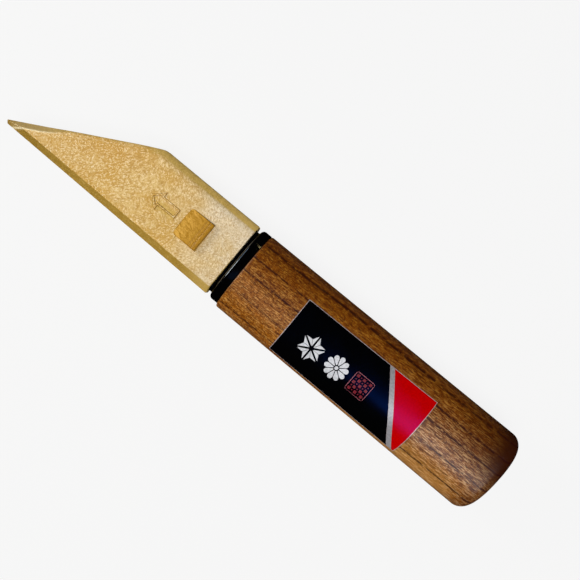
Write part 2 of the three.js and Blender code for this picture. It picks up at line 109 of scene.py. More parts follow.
HOLLOW_BEVEL_HEIGHT = 1.6
PAD_MOUTH_X = MOUTH_X + 10.75
PAD_TIP_X = PAD_MOUTH_X + 9.07
PAD_LOW_Y = -5.35
PAD_HIGH_Y = 5.05
PAD_HEIGHT = CAP_HIGH[2] - AXIS_Z - CAP_HALF
PAD_GROOVES = (0.7, 0.84)  # shares of the way up the ramp
PAD_GROOVE_DEPTH = 0.13
PAD_GROOVE_WIDTH = 0.022
PAD_TOE_RISE = 0.06  # share of the height
PAD_RAMP_RISE = 0.92
PAD_RAMP_POWER = 1.15
PAD_WALL_DROP = 0.3  # rounding at the wall, over the last share of the way up
PAD_WALL_SHARE = 0.045
PAD_CORNER = 0.75  # radius of the toe's corners, seen from above
PAD_SIDE_ROUNDING = 0.32
PAD_TOE_BOW = 0.22
PAD_CROWN = 0.12
PAD_ROOT = 0.5  # how deep pad and arrow are sunk in the wall
ARROW_REACHES = (32.15, 29.25, 22.65)  # tip, head and tail, ahead of the mouth
ARROW_MID_Y = -0.45
ARROW_HEAD = 2.75
ARROW_SHAFT = 1.4
# Section of the arrow's raised line: out from its middle, up from the face.
ARROW_LINE = [(-0.36, -0.3), (-0.36, 0.02), (-0.25, 0.22), (-0.1, 0.3)]
ARROW_LINE += [(-out, rise) for out, rise in reversed(ARROW_LINE)]

# Wood: place of the pith, distance from it to the handle's middle, and the growth lines as places
# farther out or in from that distance; the lines drift by this share of the way along the handle
WOOD_PITH_Y = 90.0
WOOD_PITH_Z = -34.4
WOOD_PITH_REACH = 100.0
WOOD_LINES = (-17.5, -12.2, -6.8, -0.7, 5.4, 9.2, 13.2, 17.0)
WOOD_LINE_HALF_WIDTH = 0.34
WOOD_BAND_HALF_WIDTH = 1.5
WOOD_DRIFT = 0.0105
WOOD_WARP = 2.2

# Ferrule
FERRULE_Y = (FERRULE_LOW[1] + FERRULE_HIGH[1]) / 2
FLANGE_FRONT_X = MOUTH_X - 1.35
FLANGE_ROUNDING = 1.25
FLANGE_BACK_ROUNDING = 0.25
NECK_GAP = 0.2  # between the neck and the inside of the cap
NECK_CORNER = 1.5
NECK_ROUNDING = 0.8
NECK_GROOVE = (0.15, 0.1, 0.15)  # depth on the edge, spine and face sides, just ahead of the flange
SPIGOT_HALF_WIDTH = 9
SPIGOT_HALF_HEIGHT = 4
SLOT_HALF_WIDTH = 5.65
SLOT_HALF_HEIGHT = 1.65  # of the tang's slot and of the blade's pocket
BLADE_GAP = 0.15
POCKET_FLOOR_X = IRON_LOW[0] + 65.95

# Label: ends, and the Y of its corners at the front and the back
LABEL_FRONT_X = LABEL_HIGH[0]
LABEL_BACK_X = LABEL_LOW[0]
LABEL_LOW_Y = (-6.45, -7.05)
LABEL_HIGH_Y = (13.45, 13.6)
LABEL_BORDER = 0.2
STRIPE_LOW = (32.05, 33.95)  # the silver stripe on the low edge, from front to back
STRIPE_HIGH = (47.85, 49.95)
STRIPE_LAP = 0.12
CREST_PLACES = ((9.95, 4.9), (19.75, 4.6), (28.9, 4.4))  # leaf, wheel, seal: back from the front, and Y
LEAF_RADIUS = 5.0
WHEEL_RADIUS = 4.0
SEAL_CELLS = 5
SEAL_WIDTH = 5.9
# Heights over the wood: underside, foil, stripe, panels, crests
FOIL_LOW, FOIL_TOP, STRIPE_TOP, PANEL_TOP, CREST_TOP = 0.02, 0.1, 0.112, 0.115, 0.13

# Label inks: colour, second colour, metallic, roughness, tint of the gloss
INKS = {
    "foil": ((0.42, 0.37, 0.37), (0.3, 0.25, 0.26), 0.3, 0.3),
    "silver": ((0.31, 0.3, 0.32), (0.25, 0.24, 0.26), 0.25, 0.3),
    "black": ((0.0004, 0.0004, 0.0005), (0.0007, 0.0007, 0.0008), 0.0, 0.2, (0.0, 0.09, 0.6)),
    "red": ((0.37, 0.0, 0.0), (0.43, 0.0, 0.0), 0.0, 0.2, (0.7, 0.06, 0.9)),
    "white": ((0.56, 0.56, 0.59), (0.44, 0.45, 0.48), 0.2, 0.35),
    "seal": ((0.11, 0.003, 0.01), (0.17, 0.006, 0.014), 0.0, 0.3),
    "pink": ((0.3, 0.09, 0.11), (0.22, 0.06, 0.08), 0.1, 0.3),
}

# Lights: name, place, target, size, power in watts, colour
LIGHTS = (
    ("softbox_window", (-0.46, 0.27, 0.95), (-0.06, 0, 0), (0.34, 0.42), 3.0, (0.9, 0.95, 1.0)),
    ("softbox_top", (-0.1, 0.36, 1.28), (0, 0, 0), (0.9, 0.9), 14.4, (1.0, 0.98, 0.95)),
    ("card_front", (0.5, 0.07, 0.24), (0.02, 0, 0), (0.16, 0.13), 1.5, (1.0, 0.97, 0.88)),
    ("card_front_dim", (0.5, -0.09, 0.2), (0.02, 0, 0), (0.16, 0.1), 0.4, (0.7, 0.85, 1.0)),
    ("card_sky", (0.13, 0.22, 1.0), (0.01, 0, 0), (0.12, 0.26), 0.02, (0.25, 0.5, 1.0)),
    ("lamp_small", (0.136, -0.93, 1.0), (0.009, -0.009, 0.015), (0.02, 0.12), 0.18, (1.0, 0.7, 0.26)),
)
UNMIRRORED_LIGHT = "softbox_top"
FLOOR_HALF = 1.5

# Camera, straight above
CAMERA_X, CAMERA_Y, CAMERA_RISE = -0.0077, -0.0048, 0.181
CAMERA_TURN = 219.6  # degrees
CAMERA_LENS = 34.8


# --- mesh helpers


def mesh_object(name, points, faces, body=None, slot=None, merge=1e-5):
    """A piece from points in millimetres and faces, smooth except at sharp edges."""
    mesh = bpy.data.meshes.new(name)
    mesh.from_pydata([tuple(p) for p in np.asarray(points) * MM], [], faces)
    work = bmesh.new()
    work.from_mesh(mesh)
    bmesh.ops.remove_doubles(work, verts=work.verts, dist=merge * MM)
    bmesh.ops.dissolve_degenerate(work, edges=work.edges, dist=merge * MM)
    bmesh.ops.recalc_face_normals(work, faces=work.faces)
    work.to_mesh(mesh)
    work.free()
    smooth(mesh)
    piece = linked(name, mesh)
    if body:
        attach(piece, body)
    return piece


def linked(name, data):
    """A new object in the scene."""
    made = bpy.data.objects.new(name, data)
    bpy.context.scene.collection.objects.link(made)
    return made


def smooth(mesh):
    mesh.polygons.foreach_set("use_smooth", [True] * len(mesh.polygons))
    mesh.set_sharp_from_angle(angle=radians(SHARP_DEGREES))


def loft(rings, loop=False):
    """Points and quads through rings of points; the ends are closed, or joined to each other."""
    count = len(rings[0])
    points = np.concatenate([np.asarray(ring, float) for ring in rings])
    pairs = len(rings) if loop else len(rings) - 1
    faces = []
    for r in range(pairs):
        low = r * count
        high = ((r + 1) % len(rings)) * count
        for i in range(count):
            j = (i + 1) % count
            faces.append((low + i, low + j, high + j, high + i))
    if not loop:
        faces.append(tuple(range(count)))
        faces.append(tuple(range((len(rings) - 1) * count, len(rings) * count)))
    return points, faces


def around(count):
    return np.linspace(0, 2 * pi, count, endpoint=False)


def section(x, y, z):
    """Points at one x."""
    return np.stack([np.full(len(y), x), y, z], 1)


def quarter_round(radius, count, start=0.0, end=pi / 2):
    """Steps of a quarter circle: the distance still to go ahead, and the distance gone inward."""
    for turned in np.linspace(start, end, count):
        yield radius * (1 - sin(turned)), radius * (1 - cos(turned))


def join(target, tool):
    """Unites a mesh object with another and removes that one."""
    modifier = target.modifiers.new("join", "BOOLEAN")
    modifier.operation = "UNION"
    modifier.solver = "EXACT"
    modifier.object = tool
    evaluated = target.evaluated_get(bpy.context.evaluated_depsgraph_get())
    target.data = bpy.data.meshes.new_from_object(evaluated)
    target.modifiers.clear()
    bpy.data.objects.remove(tool)


def write_attribute(mesh, name, values):
    attribute = mesh.attributes.new(name, "FLOAT", "POINT")
    attribute.data.foreach_set("value", np.asarray(values, np.float32))


def coordinates(mesh):
    points = np.empty(len(mesh.vertices) * 3)
    mesh.vertices.foreach_get("co", points)
    return points.reshape(-1, 3) / MM


# --- material helpers


class Graph:
    """The shader nodes of a material or a world, with short calls to add and link them."""

    def __init__(self, owner):
        owner.use_nodes = True
        self.tree = owner.node_tree

    def node(self, kind, inputs=(), **properties):
        made = self.tree.nodes.new("ShaderNode" + kind)
        for key, value in properties.items():
            setattr(made, key, value)
        for key, value in dict(inputs).items():
            self.feed(made.inputs[key], value)
        return made

    def feed(self, socket, value):
        if isinstance(value, bpy.types.NodeSocket):
            self.tree.links.new(value, socket)
        elif isinstance(value, tuple) and len(value) == 3 and len(socket.default_value) == 4:
            socket.default_value = (*value, 1)
        else:
            socket.default_value = value


class Surface(Graph):
    """A procedural material: a Principled shader and the patterns in front of it."""

    def __init__(self, name, **sockets):
        self.material = bpy.data.materials.new(name)
        super().__init__(self.material)
        self.tree.nodes.clear()
        self.shader = self.node("BsdfPrincipled")
        self.node("OutputMaterial", {0: self.shader.outputs[0]})
        for key, value in sockets.items():
            self.set(key.replace("_", " ").title().replace("Ior", "IOR"), value)
        self.place = self.node("TexCoord").outputs["Object"]

    def set(self, name, value):
        self.feed(self.shader.inputs[name], value)

    def noise(self, scale, offset=(0, 0, 0), turn=0.0, detail=4.0, roughness=0.5, distortion=0.0):
        """Noise of so many cells a metre along each axis, moved, in a frame turned about Z."""
        turned = self.node("VectorRotate", {"Vector": self.place, "Angle": turn}, rotation_type="Z_AXIS")
        place = self.node("Mapping", {"Vector": turned.outputs[0], "Scale": scale, "Location": offset})
        pattern = {"Vector": place.outputs[0], "Scale": 1.0, "Detail": detail, "Roughness": roughness}
        return self.node("TexNoise", {**pattern, "Distortion": distortion}).outputs["Fac"]

    def cells(self, scale):
        return self.node("TexVoronoi", {"Vector": self.place, "Scale": scale}).outputs["Distance"]

    def math(self, operation, a, b=0.0, clamp=False):
        return self.node("Math", {0: a, 1: b}, operation=operation, use_clamp=clamp).outputs[0]

    def plus(self, a, b, clamp=False):
        return self.math("ADD", a, b, clamp)

    def minus(self, a, b):
        return self.math("SUBTRACT", a, b)

    def times(self, a, b):
        return self.math("MULTIPLY", a, b)

    def blend(self, share, a, b):
        return self.plus(self.times(a, self.minus(1.0, share)), self.times(b, share))

    def spread(self, value, low, high, to_low=0.0, to_high=1.0):
        """A value eased from one range to another."""
        limits = {"Value": value, "From Min": low, "From Max": high, "To Min": to_low, "To Max": to_high}
        return self.node("MapRange", limits, clamp=True, interpolation_type="SMOOTHSTEP").outputs[0]

    def along(self, start, end, to_low=0.0, to_high=1.0):
        """How far a place is on the way from one X to another, both in millimetres."""
        return self.spread(self.axis("X"), start * MM, end * MM, to_low, to_high)

    def across(self, start, end):
        """The same from one Y to another."""
        return self.spread(self.axis("Y"), start * MM, end * MM)

    def mix(self, share, a, b):
        return self.node("Mix", {"Factor": share, "A": a, "B": b}, data_type="RGBA").outputs["Result"]

    def tint(self, colour, tone, share, strength):
        """A colour turned toward a tone by a share, at most by the strength."""
        return self.mix(self.times(share, strength), colour, tone)

    def axis(self, name):
        return self.node("SeparateXYZ", {0: self.place}).outputs[name]

    def attribute(self, name):
        return self.node("Attribute", attribute_name=name).outputs["Fac"]

    def bump(self, height, distance, strength, after=None):
        made = self.node("Bump", {"Distance": distance, "Strength": strength, "Height": height})
        if after:
            self.feed(made.inputs["Normal"], after)
        return made.outputs[0]

    def done(self, colour, roughness, normal):
        for name, value in (("Base Color", colour), ("Roughness", roughness), ("Normal", normal)):
            self.set(name, value)
        return self.material


# --- materials


def wood_material():
    """Brown hardwood under thin varnish: growth rings, dashed pores beside them, and a rippled figure."""
    s = Surface("handle_wood", coat_weight=0.35, coat_roughness=0.3, specular_ior_level=0.15)
    warp = s.noise((11, 70, 70), detail=3)
    # Growth lines round a pith far off to the spine side and below.
    y, z = s.axis("Y"), s.axis("Z")
    from_pith = s.math("SQRT", s.plus(s.math("POWER", s.minus(WOOD_PITH_Y * MM, y), 2.0),
                                      s.math("POWER", s.minus(z, WOOD_PITH_Z * MM), 2.0)))
    from_butt = s.minus(s.axis("X"), HANDLE_BUTT_X * MM)
    drift = s.plus(s.times(s.minus(warp, 0.5), WOOD_WARP * MM), s.times(from_butt, WOOD_DRIFT))
    growth = s.minus(s.plus(from_pith, drift), WOOD_PITH_REACH * MM)
    line, band = 0.0, 0.0
    outer, core = WOOD_LINE_HALF_WIDTH * MM, 0.3 * WOOD_LINE_HALF_WIDTH * MM
    for place in WOOD_LINES:
        apart = s.math("ABSOLUTE", s.minus(growth, place * MM))
        line = s.plus(line, s.spread(apart, outer, core))
        band = s.plus(band, s.spread(apart, WOOD_BAND_HALF_WIDTH * MM, 0))
    late = s.noise((14, 260, 260), (6, 6, 1), detail=3)
    dashes = s.spread(s.noise((430, 500, 500), detail=4, roughness=0.7), 0.4, 0.5)
    fades = s.spread(s.noise((25, 160, 160), (2, 7, 3), detail=2), 0.3, 0.45, 0.5, 1)
    line = s.times(s.times(line, dashes), fades)
    streaks = s.noise((16, 520, 520), detail=5, roughness=0.65, distortion=0.3)
    broad = s.noise((8, 110, 110), (3, 1, 2), detail=3, roughness=0.55)
    leaning = s.noise((2300, 700, 1300), turn=-0.5, detail=2, roughness=0.6, distortion=0.8)
    upright = s.noise((2600, 800, 1300), (4, 4, 4), turn=0.15, detail=2, roughness=0.6, distortion=0.8)
    where = s.spread(s.noise((60, 160, 160), (8, 3, 5), detail=1), 0.42, 0.58)
    ripple = s.blend(where, leaning, upright)
    # Fibres toward the butt, crossed by a weave toward the front.
    fibres = s.noise((420, 3300, 3300), turn=-0.02, detail=3, roughness=0.75, distortion=0.15)
    weave = s.noise((1500, 2100, 2100), (1, 5, 2), turn=-0.35, detail=2, roughness=0.7, distortion=0.8)
    butt_half = s.along(-20, -70)
    gain = s.times(butt_half, 0.35)
    fibres = s.plus(s.times(fibres, s.plus(gain, 0.6)), s.times(weave, s.minus(0.4, gain)))
    pores = s.spread(s.noise((420, 3000, 3000), (7, 0, 0), detail=2, roughness=0.5), 0.6, 0.7)
    # Painted shade: deep runs from 0 on the spine side to 1 on the edge side, where the wood is painted
    # darker.
    deep = s.minus(1.0, s.across(-13, 6))
    light = s.mix(deep, (0.28, 0.085, 0.001), (0.165, 0.041, 0.0004))
    dark = s.mix(deep, (0.095, 0.021, 0.0004), (0.058, 0.01, 0.0003))
    tone = s.plus(s.times(streaks, 0.45), s.times(broad, 0.35))
    tone = s.minus(s.plus(tone, s.times(ripple, 0.9)), s.times(late, 0.06))
    colour = s.mix(s.spread(tone, 0.56, 1.04), dark, light)
    # Colour of the light fibres: painted darker on the edge side (painted shade) and pale pink on the spine
    # side toward the butt (painted sheen).
    fibre_and_sheen = s.mix(deep, (0.47, 0.24, 0.06), (0.3, 0.12, 0.008))
    fibre_and_sheen = s.mix(s.times(butt_half, s.minus(1.0, deep)), fibre_and_sheen, (0.52, 0.31, 0.14))
    colour = s.tint(colour, fibre_and_sheen, s.spread(fibres, 0.5, 0.6), 0.85)
    colour = s.tint(colour, (0.04, 0.005, 0.0003), s.spread(fibres, 0.49, 0.4), 0.85)
    colour = s.tint(colour, (0.035, 0.008, 0.001), pores, 0.8)
    # A paler strip of painted sheen along the spine side toward the butt, and painted shade on the butt.
    painted_spine_sheen = s.times(s.times(s.across(6, 12.5), butt_half), s.along(-92, -82))
    colour = s.tint(colour, (0.47, 0.23, 0.05), painted_spine_sheen, 0.4)
    # Painted shade: darker over the butt end and over the edge-side corner of the butt half.
    shade = s.times(s.along(-62, -92), s.across(7, -6))
    shade = s.plus(s.times(shade, 0.6), s.along(-83, -95.5, 0, 0.55), clamp=True)
    colour = s.mix(shade, colour, (0.03, 0.006, 0.001))
    colour = s.tint(colour, (0.05, 0.009, 0.0006), band, 0.12)
    colour = s.tint(colour, (0.022, 0.002, 0.0006), line, 0.95)
    hollow = s.plus(s.times(pores, 0.7), line)
    rough = s.spread(s.plus(fibres, s.times(hollow, 0.4)), 0.3, 1.1, 0.4, 0.62)
    height = s.plus(s.times(fibres, 0.45), s.times(ripple, 0.8))
    return s.done(colour, rough, s.bump(s.minus(height, hollow), 0.00007, 0.6))


def cap_material():
    """Gold-brown moulded plastic: fine mottled grain on the faces, painted paler there for their sheen;
    smooth and deeper on bevels and ramp.
    """
    s = Surface("cap_plastic", specular_ior_level=0.3)
    grained = s.attribute("grained")
    ramp = s.attribute("ramp")
    mottle = s.noise((380, 560, 480), turn=0.5, detail=5, roughness=0.7, distortion=0.6)
    patches = s.noise((75, 110, 90), (2, 4, 1), detail=4, roughness=0.6, distortion=0.6)
    rising = s.noise((2400, 1350, 1800), turn=0.75, detail=3, roughness=0.75, distortion=0.6)
    falling = s.noise((2400, 1350, 1800), (3, 3, 3), turn=-0.6, detail=3, roughness=0.75, distortion=0.6)
    which = s.spread(s.noise((110, 130, 120), (5, 9, 2), detail=2), 0.42, 0.58)
    grain = s.blend(which, rising, falling)
    # Painted sheen: the face's mottle is painted paler and greyer than the bare amber plastic, most of all
    # toward the mouth.
    from_mouth = s.plus(s.axis("X"), s.times(s.axis("Y"), 0.6))
    mouth = s.spread(from_mouth, 0.042, 0.014)
    pale = s.mix(mouth, (0.605, 0.41, 0.15), (0.59, 0.48, 0.32))
    deep = s.mix(mouth, (0.45, 0.27, 0.065), (0.49, 0.36, 0.185))
    face = s.mix(s.spread(mottle, 0.3, 0.6), deep, pale)
    blotch = s.times(s.spread(patches, 0.42, 0.62), s.spread(mouth, 0, 1, 0.95, 0.7))
    face = s.mix(blotch, face, s.mix(mouth, (0.5, 0.29, 0.055), (0.53, 0.37, 0.16)))
    # Painted sheen: a whitish patch on the face beside the pad, on the edge side.
    painted_sheen_by_pad = s.times(s.across(-1, -8), s.along(31, 24))
    face = s.tint(face, (0.66, 0.59, 0.48), painted_sheen_by_pad, 0.35)
    face = s.tint(face, (0.47, 0.25, 0.04), s.attribute("stain"), 0.6)
    face = s.mix(s.along(56, 80, 0, 0.42), face, (0.45, 0.25, 0.05))
    face = s.tint(face, (0.84, 0.7, 0.46), s.spread(grain, 0.5, 0.62), 0.6)
    face = s.tint(face, (0.37, 0.2, 0.05), s.spread(grain, 0.5, 0.38), 0.66)
    # Bevels, painted lighter on the edge side than on the spine side (painted light).
    painted_light_edge_side = s.across(9, 0)
    low = s.mix(painted_light_edge_side, (0.29, 0.168, 0.018), (0.46, 0.3, 0.07))
    high = s.mix(painted_light_edge_side, (0.35, 0.21, 0.03), (0.56, 0.37, 0.1))
    plain = s.mix(s.spread(mottle, 0.35, 0.7), low, high)
    plain = s.tint(plain, (0.22, 0.12, 0.015), s.spread(grain, 0.5, 0.36), 0.4)
    plain = s.tint(plain, (0.72, 0.52, 0.2), s.spread(grain, 0.52, 0.66), 0.3)
    plain = s.mix(s.along(26, 13, 0, 0.35), plain, (0.6, 0.42, 0.13))
    plain = s.mix(s.along(60, 90, 0, 0.4), plain, (0.17, 0.095, 0.008))
    # Thumb ramp.
    brushed = s.noise((600, 1100, 900), turn=0.4, detail=4, roughness=0.7, distortion=0.8)
    amber = s.mix(s.spread(brushed, 0.36, 0.64), (0.33, 0.155, 0.003), (0.58, 0.32, 0.05))
    # Painted shade: the ramp's upper part, toward its wall, is painted a darker amber.
    upper = s.mix(brushed, (0.2, 0.09, 0.001), (0.46, 0.225, 0.01))
    amber = s.mix(s.spread(ramp, 0.55, 1.0), amber, upper)
    colour = s.mix(grained, plain, face)
    colour = s.mix(s.spread(ramp, 0.2, 0.5), colour, amber)
    # Painted shade in the ramp's rim and rib grooves and on the arrow's flanks.
    colour = s.tint(colour, (0.25, 0.115, 0.004), s.attribute("seam"), 0.6)
    # Painted highlight on the low ridge near the tip, and painted light on the slant facet.
    colour = s.tint(colour, (0.92, 0.8, 0.52), s.attribute("worn"), 0.6)
    rough = s.times(grained, s.spread(grain, 0.3, 0.7, 0.1, 0.2))
    rough = s.plus(rough, s.spread(patches, 0.3, 0.7, 0.36, 0.44))
    height = s.plus(s.times(grain, 0.6), s.times(mottle, 0.8))
    fine = s.bump(s.times(height, grained), 0.00016, 0.5)
    return s.done(colour, rough, s.bump(patches, 0.00006, 0.3, after=fine))


def ferrule_material():
    """Glossy black moulding with faint hairline scratches."""
    s = Surface("ferrule_plastic", specular_ior_level=0.4, specular_tint=(0.75, 0.85, 1.0))
    scratch = s.noise((300, 4200, 4200), turn=0.2, detail=2, roughness=0.8)
    haze = s.noise((160, 160, 160), detail=3)
    colour = s.mix(haze, (0.0004, 0.0004, 0.0005), (0.0009, 0.0009, 0.001))
    rough = s.plus(s.spread(haze, 0.3, 0.7, 0.06, 0.12), s.spread(scratch, 0.62, 0.7, 0, 0.14))
    return s.done(colour, rough, s.bump(s.plus(haze, s.times(scratch, 0.15)), 0.00003, 0.35))


def foil_material(name, colour, shade, metallic, roughness, tint=(1, 1, 1)):
    """Printed foil: one ink, or the bare foil, with slight mottling and a rippled gloss."""
    s = Surface(name, metallic=metallic, specular_ior_level=0.15, specular_tint=tint)
    ripple = s.noise((120, 160, 160), detail=2)
    fleck = s.noise((1800, 1800, 1800), detail=2)
    colour = s.mix(s.spread(fleck, 0.35, 0.65), colour, shade)
    rough = s.spread(ripple, 0.3, 0.7, roughness - 0.04, roughness + 0.05)
    return s.done(colour, rough, s.bump(s.plus(ripple, s.times(fleck, 0.04)), 0.00004, 0.4))


def steel_material(name, bright, dull, roughness, stroke_turn):
    """Ground steel: fine grinding strokes with darker and brighter streaks."""
    s = Surface(name, metallic=0.45)
    stroke = s.noise((90, 2600, 400), turn=stroke_turn, detail=4, roughness=0.75)
    cloud = s.noise((60, 60, 60), detail=3)
    share = s.plus(s.times(s.spread(stroke, 0.3, 0.7), 0.6), s.times(cloud, 0.4))
    colour = s.mix(share, dull, bright)
    rough = s.spread(stroke, 0.25, 0.75, roughness - 0.08, roughness + 0.12)
    return s.done(colour, rough, s.bump(stroke, 0.00003, 0.5))


def resin_material():
    """Rough amber bedding resin with small bubbles."""
    s = Surface("bedding_resin", coat_weight=0.2, coat_roughness=0.3)
    cloud = s.noise((140, 200, 200), detail=5)
    bubble = s.spread(s.cells(900), 0.1, 0.3)
    colour = s.mix(cloud, (0.34, 0.24, 0.09), (0.56, 0.45, 0.24))
    rough = s.spread(cloud, 0.3, 0.7, 0.4, 0.65)
    return s.done(colour, rough, s.bump(s.plus(cloud, bubble), 0.0001, 0.5))


def floor_material():
    """Pale sweep, faintly uneven, bright enough that shadows on it stay soft."""
    glow = {"emission_color": (0.868, 0.868, 0.868), "emission_strength": 1.0}
    s = Surface("floor_paper", roughness=0.9, specular_ior_level=0.0, **glow)
    tooth = s.noise((900, 900, 900), detail=3)
    s.set("Base Color", s.mix(tooth, (0.045, 0.045, 0.045), (0.05, 0.05, 0.05)))
    return s.material


def dress(piece, material):
    piece.data.materials.clear()
    piece.data.materials.append(material)


# --- handle


def handle_half_width(x):
    along = (HANDLE_FRONT_X - x) / (HANDLE_FRONT_X - HANDLE_BUTT_X)
    return (HANDLE_WIDTH_FRONT + (HANDLE_WIDTH_BUTT - HANDLE_WIDTH_FRONT) * along) / 2


def signed_power(value, power):
    return np.sign(value) * np.abs(value) ** power


def oval(angles, half_width, upper, lower):
    """Places y and z of the handle's flattened oval."""
    y = half_width * signed_power(np.cos(angles), 2 / OVAL_POWER)
    rise = signed_power(np.sin(angles), 2 / OVAL_POWER)
    return y, np.where(rise > 0, upper * rise, np.maximum(lower * rise, -upper))


def handle_ring(x, angles, scale_y=1.0, scale_z=None):
    y, z = oval(angles, handle_half_width(x), AXIS_Z, AXIS_Z + UNDERSIDE_EXTRA)
    return section(x, y * scale_y, AXIS_Z + z * (scale_y if scale_z is None else scale_z))


def rectangle_ring(x, angles, half_y, half_z):
    """A ring on the outline of the handle's hole, one point for each angle seen from its centre."""
    y, z = np.cos(angles), np.sin(angles)
    reach = 1 / np.maximum(np.abs(y) / half_y, np.abs(z) / half_z)
    return section(x, FERRULE_Y + y * reach, AXIS_Z + z * reach)


def make_handle():
    angles = around(208)
    half_width = HANDLE_WIDTH_BUTT / 2
    far_x = HANDLE_BUTT_X + (BUTT_SKEW * half_width) ** 2 / (4 * BUTT_SAG)

    def butt_ring(scale, corner=0.0):
        ring = handle_ring(far_x + BUTT_SAG * scale**2 + corner, angles, scale)
        ring[:, 0] += BUTT_SKEW * ring[:, 1]
        return ring

    rings = [butt_ring(scale) for scale in (0.001, 0.05, 0.15, 0.3, 0.45, 0.6)]
    for corner, inset in quarter_round(BUTT_RADIUS, 19, pi / 2, 0):
        rings.append(butt_ring(1 - inset / half_width, corner))
    side = np.linspace(rings[-1][:, 0].max() + 1, HANDLE_FRONT_X - FRONT_ROUNDING - 0.4, 60)
    rings += [handle_ring(x, angles) for x in side]
    for ahead, inset in quarter_round(FRONT_ROUNDING, 7):
        x = HANDLE_FRONT_X - ahead
        rings.append(handle_ring(x, angles, 1 - inset / handle_half_width(x), 1 - inset / AXIS_Z))
    # The blind hole: a wide part for the ferrule's spigot, then a narrow one for the tang's bedding.
    bedding = (BEDDING_HIGH - BEDDING_LOW)[1:] / 2
    for x, half in (
        (HANDLE_FRONT_X, HOLE_HALF + HOLE_CHAMFER),
        (HANDLE_FRONT_X - HOLE_CHAMFER, HOLE_HALF),
        (BEDDING_HIGH[0], HOLE_HALF),
        (BEDDING_HIGH[0], bedding),
        (BEDDING_LOW[0], bedding),
        (BEDDING_LOW[0], (0.2, 0.1)),
    ):
        rings.append(rectangle_ring(x, angles, *half))
    piece = mesh_object("wood_handle", *loft(rings), "knife", "handle_wood")
    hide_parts("handle")
    dress(piece, wood_material())


# --- ferrule


def rounded_ring(x, angles, low_y, high_y, half_z, corner=0.3):
    """A ring on a rectangle with rounded corners, one point for each angle seen from its centre."""
    half_y = (high_y - low_y) / 2
    centre_y = (high_y + low_y) / 2
    y, z = np.cos(angles) * half_y, np.sin(angles) * half_z
    reach = 1 / np.maximum(np.abs(y) / half_y, np.abs(z) / half_z)
    y, z = y * reach, z * reach
    over_y = np.maximum(np.abs(y) - (half_y - corner), 0)
    over_z = np.maximum(np.abs(z) - (half_z - corner), 0)
    both = (over_y > 0) & (over_z > 0)
    length = np.where(both, np.hypot(over_y, over_z), 1)
    y = np.where(both, np.sign(y) * (half_y - corner + over_y / length * corner), y)
    z = np.where(both, np.sign(z) * (half_z - corner + over_z / length * corner), z)
    return section(x, centre_y + y, AXIS_Z + z)


def make_ferrule():
    angles = around(192)
    half_width, half_thick = (FERRULE_HIGH - FERRULE_LOW)[1:] / 2
    front = FERRULE_HIGH[0]
    neck_low = EDGE_Y + EDGE_WALL + NECK_GAP
    neck_high = SPINE_Y - SPINE_WALL - NECK_GAP
    neck_half = CAP_HALF - FACE_WALL - NECK_GAP

    def flange(x, shrink):
        y, z = oval(angles, half_width - shrink, half_thick - shrink, half_thick - shrink)
        return section(x, FERRULE_Y + y, AXIS_Z + z)

    def plain(x, *sizes):
        return rounded_ring(x, angles, *sizes)

    def neck(x, shrink=0.0):
        taper = -SPINE_SLOPE * max(0.0, x - MOUTH_X)
        high = neck_high - taper - shrink
        return plain(x, neck_low + shrink, high, neck_half - taper / 2 - shrink, NECK_CORNER)

    def groove(x, grow=0.0):
        edge, spine, face = (depth - grow for depth in NECK_GROOVE)
        return plain(x, neck_low + edge, neck_high - spine, neck_half - face, NECK_CORNER)

    spigot = (FERRULE_Y - SPIGOT_HALF_WIDTH, FERRULE_Y + SPIGOT_HALF_WIDTH, SPIGOT_HALF_HEIGHT)
    tang_slot = (FERRULE_Y - SLOT_HALF_WIDTH, FERRULE_Y + SLOT_HALF_WIDTH, SLOT_HALF_HEIGHT)
    pocket = (IRON_LOW[1] - BLADE_GAP, IRON_HIGH[1] + BLADE_GAP, SLOT_HALF_HEIGHT)
    back = FERRULE_LOW[0]
    rings = [
        plain(back, *tang_slot, 0.2),
        plain(back, spigot[0] + 0.4, spigot[1] - 0.4, spigot[2] - 0.4, 0.5),
        plain(back + 0.4, *spigot, 0.8),
        plain(HANDLE_FRONT_X, *spigot, 0.8),
        flange(HANDLE_FRONT_X, FLANGE_BACK_ROUNDING),
    ]
    for inset, _ in quarter_round(FLANGE_BACK_ROUNDING, 5):
        rings.append(flange(HANDLE_FRONT_X + FLANGE_BACK_ROUNDING - inset, inset))
    for ahead, inset in quarter_round(FLANGE_ROUNDING, 12):
        rings.append(flange(FLANGE_FRONT_X - ahead, inset))
    for ahead, fillet in quarter_round(FLANGE_BACK_ROUNDING, 6, pi / 2, 0):
        rings.append(groove(FLANGE_FRONT_X + ahead, fillet))
    rings += [groove(MOUTH_X), neck(MOUTH_X + 0.15)]
    rings += [neck(x) for x in np.linspace(MOUTH_X + 1.2, front - NECK_ROUNDING, 7)]
    for ahead, inset in quarter_round(NECK_ROUNDING, 6):
        rings.append(neck(front - ahead, inset))
    rings += [
        plain(front, pocket[0] - 0.15, pocket[1] + 0.15, pocket[2] + 0.15),
        plain(front - 0.15, *pocket),
        plain(POCKET_FLOOR_X, *pocket),
        plain(POCKET_FLOOR_X, *tang_slot, 0.2),
    ]
    piece = mesh_object("ferrule_moulding", *loft(rings, loop=True), "knife", "ferrule_plastic")
    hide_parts("ferrule")
    dress(piece, ferrule_material())


# --- cap


def draft(x):
    return 1 - THICKNESS_LOSS * (x - MOUTH_X) / CAP_DRAFT_LENGTH


def cap_face(x):
    """Height of the cap's labelled face."""
    return AXIS_Z + CAP_HALF * draft(x)


def spine_line(x):
    return SPINE_Y + SPINE_SLOPE * (x - MOUTH_X)


def low_line(x, softness=0.5):
    """The edge side, which turns into the slanted side past the shoulder."""
    past = (x - SHOULDER_X) / softness
    return EDGE_Y + SLANT_SLOPE * softness * np.logaddexp(0, past)


